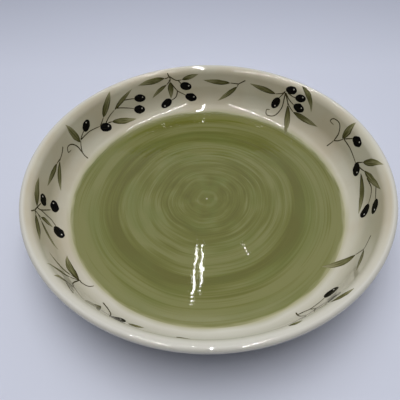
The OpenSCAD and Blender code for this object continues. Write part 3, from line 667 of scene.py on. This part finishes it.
def cream_glaze_material(size, tint):
    """Cream with painted light that makes it paler at the near side, cooler on the rim, and stained where
    the wash runs out on it.
    """
    graph = Rings("cream_glaze")
    rim_start = size.dish_d / 2 - size.rim_d
    edge_r = size.green_d / 2
    clouds = graph.spots(45 * MM, detail=3.0)
    # Painted light: the wall is made paler towards the near side, where more light falls on it
    near_painted_light = graph.spread(graph.coordinate("Y"), -60 * MM, -150 * MM, at_high=0.8)
    rim = graph.spread(graph.radius, rim_start, rim_start + size.rim_d / 2)
    edge = graph.ragged(width=1.0, sweep=0.25)
    stain = graph.spread(edge, edge_r, edge_r + 4 * MM, 0.8, 0.0)
    hairs = graph.streaks(width=1.6 * MM, sweep=0.5)
    base = graph.mix(graph.spread(clouds, *CLOUD_SPAN), tint.cream_warm, tint.cream)
    base = graph.mix(near_painted_light, base, tint.cream_painted_light)
    base = graph.mix(rim, base, tint.cream_cool)
    base = graph.mix(stain, base, tint.green_edge)
    base = graph.mix(graph.swing(hairs, 0.0, 0.1), base, tint.cream_warm)
    ripples = graph.math("ADD", graph.waves(), graph.math("MULTIPLY", hairs, HAIR_SHARE))
    normal = graph.bump(ripples, 0.05 * MM)
    return graph.glazed(base, graph.swing(clouds, 0.02, 0.04), normal, ior=1.6)


def green_wash_material(size, tint):
    """The wash in rings and streaks that run round the dish, with a painted highlight on the wheel's nub and
    a ragged edge.
    """
    graph = Rings("green_wash")
    edge_r = size.green_d / 2
    sway = graph.swing(graph.noise(graph.direction, 0.9, detail=1.0), -1.6 * MM, 1.6 * MM)
    sway = graph.math("MULTIPLY", sway, graph.spread(graph.radius, 2 * MM, 30 * MM, at_low=0.05))
    lapped = graph.math("ADD", graph.radius, sway)
    steady = graph.spread(graph.radius, 4 * MM, 28 * MM, at_low=0.2)
    tone = graph.ramp(graph.math("DIVIDE", lapped, edge_r), WASH_SHARES)
    for width, sweep, strength in WASH_STREAKS:
        streak = graph.streaks(width, sweep, radius=lapped)
        streak = graph.spread(streak, *STREAK_SPAN, -strength / 2, strength / 2)
        tone = graph.math("ADD", tone, graph.math("MULTIPLY", streak, steady))
    patches = graph.streaks(width=18 * MM, sweep=0.7, detail=2.0)
    # Painted highlight: the middle of the nub is painted cream, standing in for the light that its top
    # catches
    nub = graph.spread(graph.radius, 0.5 * MM, 1.2 * MM, 0.75, 0.0)
    edge = graph.ragged(width=3 * MM, sweep=0.2)
    base = graph.ramp(tone, [(0.0, tint.green_deep), (0.5, tint.green), (1.0, tint.green_thin)])
    base = graph.mix(graph.spread(patches, 0.48, 0.72, at_high=0.45), base, tint.green_cool)
    base = graph.mix(nub, base, tint.cream)
    base = graph.mix(graph.spread(edge, edge_r - 2.6 * MM, edge_r + 0.3 * MM), base, tint.green_edge)
    ridges = graph.streaks(width=2.4 * MM, sweep=1.2, detail=0.0)
    pits = graph.math("MULTIPLY", graph.spots(1.5 * MM, detail=0.0), PIT_SHARE)
    relief = graph.math("ADD", graph.math("ADD", ridges, graph.waves()), pits)
    normal = graph.bump(relief, 0.038 * MM)
    roughness = graph.spread(graph.radius, edge_r - 15 * MM, edge_r - 6 * MM, 0.025, 0.25)
    return graph.glazed(base, roughness, normal, gloss=0.35)


def outer_glaze_material(size, tint):
    """The cream of the outside, through which the clay shows where it was wiped off the foot."""
    graph = Graph("outer_glaze")
    clouds = graph.spots(40 * MM, detail=3.0)
    wiped = graph.spread(graph.coordinate("Z"), size.bare_h, size.bare_h + 1.2 * MM, 0.5, 0.0)
    base = graph.mix(graph.spread(clouds, *CLOUD_SPAN), tint.cream_warm, tint.outer)
    base = graph.mix(wiped, base, tint.clay)
    return graph.glazed(base, graph.swing(clouds, 0.09, 0.16), graph.bump(graph.waves(), 0.12 * MM))


def clay_material(tint):
    graph = Graph("bare_clay")
    grit = graph.spots(0.8 * MM, detail=4.0, roughness=0.7)
    base = graph.mix(graph.swing(graph.spots(12 * MM), 0.0, 0.35), tint.clay, tint.outer)
    base = graph.mix(graph.spread(grit, 0.55, 0.75, at_high=0.4), base, tint.stem)
    return graph.glazed(base, 0.85, graph.bump(grit, 0.15 * MM))


def table_material(tint):
    graph = Graph("table_top")
    base = graph.mix(graph.swing(graph.noise(graph.place(), 6.0), 0.0, 0.06), tint.table, tint.air)
    # Painted shade: the table darkens further away, where less light falls on it
    base = graph.mix(graph.spread(graph.coordinate("Y"), 0.25, 0.6, at_high=0.6), base, tint.table_far_shaded)
    return graph.glazed(base, 0.6)


def brush_marks(graph):
    """A stroke's own places: the share along it, the share across it, and a tone of its own."""
    marks = graph.add("Attribute", attribute_name=BRUSH_LAYER).outputs["Color"]
    return graph.add("SeparateColor", {0: marks}).outputs


def bristles(graph, marks):
    """Fine lines along a stroke, as the hairs of a brush leave them."""
    scaled = [graph.math("MULTIPLY", mark, lines) for mark, lines in zip(marks, BRISTLES)]
    return graph.noise(graph.add("CombineXYZ", zip("XYZ", scaled)).outputs[0])


def brushed(graph, base, roughness):
    """The shader of brushwork that lies under a glaze."""
    normal = graph.bump(graph.waves(), 0.06 * MM)
    return graph.glazed(base, roughness, normal, PAINT_GLOSS, PAINT_IOR)


def leaf_material(tint):
    """A leaf's paint, strong at its foot and edges and thin at its tip, where the brush ran dry."""
    graph = Graph("leaf_paint")
    marks = brush_marks(graph)
    along, across_share, tone = marks
    edges = graph.math("ABSOLUTE", graph.math("SUBTRACT", across_share, 0.5))
    thinness = graph.ramp(along, LEAF_SHARES)
    thinness = graph.math("SUBTRACT", thinness, graph.spread(edges, 0.25, 0.5, at_high=0.3))
    thinness = graph.math("ADD", thinness, graph.swing(bristles(graph, marks), -0.35, 0.35))
    thinness = graph.math("ADD", thinness, graph.spread(tone, 0.0, 1.0, -0.12, 0.12))
    base = graph.ramp(thinness, [(0.0, tint.leaf_deep), (0.5, tint.leaf), (1.0, tint.leaf_thin)])
    return brushed(graph, base, 0.08)


def stem_material(tint):
    graph = Graph("stem_paint")
    along = brush_marks(graph)[0]
    base = graph.mix(graph.swing(graph.spots(3 * MM), 0.0, 1.0), tint.leaf_deep, tint.stem)
    base = graph.mix(graph.spread(along, 0.75, 1.0, at_high=0.45), base, tint.leaf_thin)
    return graph.glazed(base, 0.08, gloss=PAINT_GLOSS, ior=PAINT_IOR)


def olive_material(tint):
    graph = Graph("olive_paint")
    hairs = bristles(graph, brush_marks(graph))
    return brushed(graph, graph.mix(graph.spread(hairs, 0.45, 0.75), tint.olive, tint.olive_sheen), 0.07)


def light_material(tint):
    graph = Graph("white_paint")
    warmth = graph.math("MULTIPLY", brush_marks(graph)[2], 0.6)
    return graph.glazed(graph.mix(warmth, tint.light, tint.cream_warm), 0.11)


def draw_stroke(form, section, sprig, shape):
    """A copy of the form, its points put where the shape has their share along and their turn around."""
    place, tone = shape
    stroke = form.copy()
    stroke.data = form.data.copy()
    bpy.context.collection.objects.link(stroke)
    marks = stroke.data.color_attributes[BRUSH_LAYER].data
    for vertex in stroke.data.vertices:
        along = math.acos(max(-1, min(1, vertex.co.z))) / math.pi
        turn = math.atan2(vertex.co.y, vertex.co.x)
        across_share = 0.5 + 0.5 * math.cos(turn)
        vertex.co = section.on_wall(sprig, *place(along, turn))
        marks[vertex.index].color = (along, across_share, tone, 1)
    return stroke


def brush(name, points, shape, section, kind):
    """All strokes of one kind as one piece, each drawn from a round form whose poles are its two ends."""
    bpy.ops.object.select_all(action="DESELECT")
    bpy.ops.mesh.primitive_uv_sphere_add(segments=points[0], ring_count=points[1], radius=1)
    form = bpy.context.object
    form.data.color_attributes.new(BRUSH_LAYER, "FLOAT_COLOR", "POINT")
    strokes = [draw_stroke(form, section, sprig, shape(section.size, sprig[0], stroke))
               for sprig in SPRIG_SHARES for stroke in sprig[kind]]
    bpy.data.objects.remove(form)
    bpy.ops.object.select_all(action="DESELECT")
    for stroke in strokes:
        stroke.select_set(True)
    bpy.context.view_layer.objects.active = strokes[0]
    bpy.ops.object.join()
    piece = bpy.context.object
    piece.name = name
    piece.data.name = name
    bpy.ops.object.mode_set(mode="EDIT")
    face_outwards()
    bpy.ops.object.shade_smooth()
    return piece


def height_over(size, turn, fullness):
    """How far a stroke's skin is off the glaze: its crown above, and its underside sunk in."""
    side = math.sin(turn)
    return size.edge + (size.crown if side > 0 else size.sink) * side * fullness


def tone_of(*place):
    """A tone for one stroke, 0 to 1, the same every time."""
    return chance(Vector(place) * TONE_SPREAD)


def waver(along, seed):
    return 1 + WAVER_SHARE * noise.noise(Vector((along * WAVERS, seed * SEED_SPREAD, 0)))


def leaf_shape(size, start, leaf):
    foot, tip, bow, wide = leaf
    seed = foot[0] + LEAF_SEED * tip[1] + start
    foot = Vector(foot) * size.leaf_l
    run = Vector(tip) * size.leaf_l - foot
    side = Vector((-run.y, run.x))

    def place(along, turn):
        outline = math.sin(math.pi * along ** LEAF_SKEW) ** LEAF_FULLNESS if 0 < along < 1 else 0
        left = math.cos(turn)
        half = size.leaf_w * wide / 2 * outline * waver(along, seed + (1 if left > 0 else 2))
        flat = foot + run * along + side * (4 * bow * along * (1 - along)) + side.normalized() * half * left
        return flat, height_over(size, turn, outline)

    return place, tone_of(seed, start, 0)


def through(points, share):
    """The place at a share of a smooth line through points."""
    last = len(points) - 1
    reach = min(share * last, last - TINY)
    i = int(reach)
    t = reach - i
    a, b, c, d = (points[max(i - 1, 0)], points[i], points[i + 1], points[min(i + 2, last)])
    return b + ((c - a) * t + (2 * a - 5 * b + 4 * c - d) * t ** 2 + (3 * b - a - 3 * c + d) * t ** 3) / 2


def stem_shape(size, start, stem):
    points = [Vector(p) * size.leaf_l for p in stem]
    seed = stem[0][0] + STEM_SEED * stem[-1][1] + start

    def place(along, turn):
        ahead = through(points, min(along + STEM_LOOK, 1)) - through(points, max(along - STEM_LOOK, 0))
        side = Vector((-ahead.y, ahead.x)).normalized()
        ends = min(1, STEM_ENDS * along, STEM_ENDS * (1 - along)) ** 0.5
        width = size.stem_w * (STEM_FOOT_SHARE - STEM_TAPER_SHARE * along) * ends
        width *= waver(along * STEM_WAVERS, seed)
        flat = through(points, along) + side * width / 2 * math.cos(turn)
        return flat, height_over(size, turn, STEM_CROWN_SHARE * ends)

    return place, tone_of(seed, 0, start)


def olive_axes(size, olive):
    """An olive's middle, and its half length and half width as vectors."""
    middle, turn, long, wide = olive
    direction = Vector((math.cos(math.radians(turn)), math.sin(math.radians(turn))))
    half_wide = Vector((-direction.y, direction.x)) * size.olive_w * wide / 2
    return Vector(middle) * size.leaf_l, direction * size.olive_l * long / 2, half_wide


def olive_shape(size, start, olive):
    middle, half_long, half_wide = olive_axes(size, olive)
    seed = olive[0][0] + OLIVE_SEED * olive[0][1] + start

    def place(along, turn):
        outline = math.sin(math.pi * along)
        wide = half_wide * outline * math.cos(turn) * waver(along, seed)
        flat = middle - half_long * math.cos(math.pi * along) + wide
        return flat, height_over(size, turn, outline ** 0.5)

    return place, tone_of(seed, start, OLIVE_SEED)


def light_shape(size, start, olive):
    middle, half_long, half_wide = olive_axes(size, olive)
    middle = middle + half_long * LIGHT_SHARES[0] + half_wide * LIGHT_SHARES[1]

    def place(along, turn):
        outline = math.sin(math.pi * along)
        flat = middle + size.light_d / 2 * Vector((math.cos(math.pi * along), outline * math.cos(turn)))
        lift = size.crown + size.crown / 2 * outline * math.sin(turn)
        return flat, size.edge + lift

    return place, tone_of(*olive[0], start)


class Maker:
    """What every operator of the dish shares."""
    bl_options = {"REGISTER", "UNDO"}

    def given(self, context):
        """The section at the sizes that are set, and the colours that are set."""
        return Section(context.scene.dish_sizes), context.scene.dish_colours


class DISH_OT_inside_glaze(Maker, bpy.types.Operator):
    """Make the cream glaze inside and over the rim"""
    bl_idname = "dish.inside_glaze"
    bl_label = "Inside glaze"

    def execute(self, context):
        section, tint = self.given(context)
        size = section.size
        above_wash = section.knuckle_path(section.green_angle, section.wall_angle, 0, 0, KNUCKLE_POINTS)
        face = (section.floor_path(size.wash_t) + section.wash_edge_path(size.wash_t) + above_wash[1:]
                + section.straight_path(0) + section.rim_path(0))
        depth = size.glaze_t
        bed = (section.floor_path(depth)
               + section.knuckle_path(section.floor_slope, section.wall_angle, depth, depth, KNUCKLE_POINTS)
               + section.straight_path(depth) + section.rim_path(depth))
        piece = turned("cream_inside_glaze", face + bed[::-1])
        settle_rim(piece, size)
        finish_piece(piece, ["inside_glaze"], cream_glaze_material(size, tint))
        return {"FINISHED"}


class DISH_OT_green_wash(Maker, bpy.types.Operator):
    """Make the green wash of the floor, with the rings that the banding brush left"""
    bl_idname = "dish.green_wash"
    bl_label = "Green wash"

    def execute(self, context):
        section, tint = self.given(context)
        size = section.size
        face = section.floor_path(0) + section.wash_edge_path(0)
        bed = section.floor_path(size.wash_t) + section.wash_edge_path(size.wash_t)
        piece = turned("banded_green_wash", face + bed[-2::-1])
        finish_piece(piece, ["green_wash", "wash_rings"], green_wash_material(size, tint))
        return {"FINISHED"}


class DISH_OT_outside_glaze(Maker, bpy.types.Operator):
    """Make the glaze outside, and the glaze inside the foot ring"""
    bl_idname = "dish.outside_glaze"
    bl_label = "Outside glaze"

    def execute(self, context):
        section, tint = self.given(context)
        size = section.size
        material = outer_glaze_material(size, tint)
        coat = section.wiped_coat(section.outside_path, 1)
        outside = turned("cream_outside_glaze", coat + coat[:1])
        settle_rim(outside, size)
        finish_piece(outside, ["outside_glaze"], material)
        recess = turned("cream_recess_glaze", section.wiped_coat(section.recess_path, -1))
        finish_piece(recess, ["recess_glaze"], material)
        return {"FINISHED"}


class DISH_OT_clay_body(Maker, bpy.types.Operator):
    """Finish the clay body, which shows as the bare bottom of the foot ring"""
    bl_idname = "dish.clay_body"
    bl_label = "Clay body"

    def execute(self, context):
        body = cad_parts["clay_body"]
        body.data.materials.clear()
        body.data.materials.append(clay_material(context.scene.dish_colours))
        return {"FINISHED"}


class DISH_OT_leaves(Maker, bpy.types.Operator):
    """Brush the leaves of the sprigs"""
    bl_idname = "dish.leaves"
    bl_label = "Leaves"

    def execute(self, context):
        section, tint = self.given(context)
        piece = brush("brushed_leaves", LEAF_POINTS, leaf_shape, section, LEAVES)
        settle_rim(piece, section.size)
        finish_piece(piece, ["painted_leaves"], leaf_material(tint))
        return {"FINISHED"}


class DISH_OT_stems(Maker, bpy.types.Operator):
    """Brush the stems and tendrils of the sprigs"""
    bl_idname = "dish.stems"
    bl_label = "Stems"

    def execute(self, context):
        section, tint = self.given(context)
        piece = brush("brushed_stems", STEM_POINTS, stem_shape, section, STEMS)
        settle_rim(piece, section.size)
        finish_piece(piece, ["painted_stems"], stem_material(tint))
        return {"FINISHED"}


class DISH_OT_olives(Maker, bpy.types.Operator):
    """Brush the olives, and dab a light on each"""
    bl_idname = "dish.olives"
    bl_label = "Olives"

    def execute(self, context):
        section, tint = self.given(context)
        olives = brush("brushed_olives", OLIVE_POINTS, olive_shape, section, OLIVES)
        finish_piece(olives, ["painted_olives"], olive_material(tint))
        dabs = brush("dabbed_lights", LIGHT_POINTS, light_shape, section, OLIVES)
        finish_piece(dabs, ["olive_lights"], light_material(tint))
        return {"FINISHED"}


class DISH_OT_stage(Maker, bpy.types.Operator):
    """Set up the table, the lamps and the camera"""
    bl_idname = "dish.stage"
    bl_label = "Stage"

    def execute(self, context):
        scene = context.scene
        stage = scene.dish_stage
        tint = scene.dish_colours
        bpy.ops.object.select_all(action="DESELECT")
        bpy.ops.mesh.primitive_plane_add(size=stage.table_size)
        table = context.object
        table.name = "table_top"
        table.data.materials.append(table_material(tint))
        for name, (near_share, far_share, power_share) in TUBE_SHARES.items():
            near, far = (Vector((*share, 1)) * stage.tube_height for share in (near_share, far_share))
            run = far - near
            power = stage.tube_power * run.length * power_share
            add_lamp(name, (near + far) / 2, stage.tube_w, run.length, power, math.atan2(-run.x, run.y))
        place = Vector((*BULB_SHARES, 1)) * stage.tube_height
        add_lamp("bulb", place, stage.tube_w, stage.tube_w, stage.bulb_power)
        wide = stage.ceiling_size
        add_lamp("ceiling", stage.ceiling_place, wide, wide, stage.ceiling_power)
        scene.world = add_air(stage, tint)
        scene.view_settings.view_transform = "Standard"
        add_camera(scene, stage)
        return {"FINISHED"}


def add_lamp(name, place, wide, long, power, turn=0):
    bpy.ops.object.light_add(type="AREA", location=place, rotation=(0, 0, turn))
    lamp = bpy.context.object
    lamp.name = name
    lamp.data.shape = "RECTANGLE"
    lamp.data.size = wide
    lamp.data.size_y = long
    lamp.data.energy = power


def add_air(stage, tint):
    """The light from all round, which is weaker from the camera's side."""
    graph = Graph("air", "worlds")
    toward = graph.add("SeparateXYZ", {0: graph.add("TexCoord").outputs["Generated"]}).outputs["Y"]
    near, far = (stage.air_strength * share for share in (AIR_NEAR_SHARE, AIR_FAR_SHARE))
    strength = graph.spread(toward, -AIR_SPAN, AIR_SPAN, near, far)
    straight = graph.add("LightPath").outputs["Is Camera Ray"]
    strength = graph.add("Mix", {"Factor": straight, "A": strength, "B": stage.air_seen}).outputs["Result"]
    background = graph.add("Background", {"Color": (*tint.air, 1), "Strength": strength})
    graph.add("OutputWorld", {"Surface": background.outputs["Background"]})
    return graph.owner


def add_camera(scene, stage):
    bpy.ops.object.camera_add(location=stage.camera_place)
    camera = bpy.context.object
    camera.name = "camera"
    turn = Matrix.Rotation(math.radians(stage.camera_turn), 4, "Z")
    down = Matrix.Rotation(math.pi / 2 - math.radians(stage.camera_down), 4, "X")
    roll = Matrix.Rotation(math.radians(stage.camera_roll), 4, "Z")
    camera.matrix_world = Matrix.Translation(stage.camera_place) @ turn @ down @ roll
    camera.data.lens = stage.camera_lens
    camera.data.clip_start = 10 * MM
    scene.camera = camera


class DISH_PT_panel(bpy.types.Panel):
    """Lists the dish's sizes and colours, and the operators that make its pieces"""
    bl_idname = "DISH_PT_panel"
    bl_label = "Olive dish"
    bl_space_type = "VIEW_3D"
    bl_region_type = "UI"
    bl_category = "Olive dish"

    def draw(self, context):
        for maker in MAKERS:
            self.layout.operator(maker.bl_idname)
        for name, group in GROUPS.items():
            box = self.layout.box()
            for part in group.__annotations__:
                box.prop(getattr(context.scene, name), part)


MAKERS = (
    DISH_OT_stage, DISH_OT_clay_body, DISH_OT_inside_glaze, DISH_OT_green_wash, DISH_OT_outside_glaze,
    DISH_OT_leaves, DISH_OT_stems, DISH_OT_olives)
GROUPS = {"dish_sizes": DishSizes, "dish_colours": DishColours, "dish_stage": DishStage}
CLASSES = (*GROUPS.values(), *MAKERS, DISH_PT_panel)


def register():
    for kind in CLASSES:
        bpy.utils.register_class(kind)
    for name, group in GROUPS.items():
        setattr(bpy.types.Scene, name, bpy.props.PointerProperty(type=group))


def unregister():
    for name in GROUPS:
        delattr(bpy.types.Scene, name)
    for kind in reversed(CLASSES):
        bpy.utils.unregister_class(kind)


def main():
    register()
    for operator in (
            bpy.ops.dish.stage, bpy.ops.dish.clay_body, bpy.ops.dish.inside_glaze, bpy.ops.dish.green_wash,
            bpy.ops.dish.outside_glaze, bpy.ops.dish.leaves, bpy.ops.dish.stems, bpy.ops.dish.olives):
        operator()


if __name__ == "__main__":
    main()
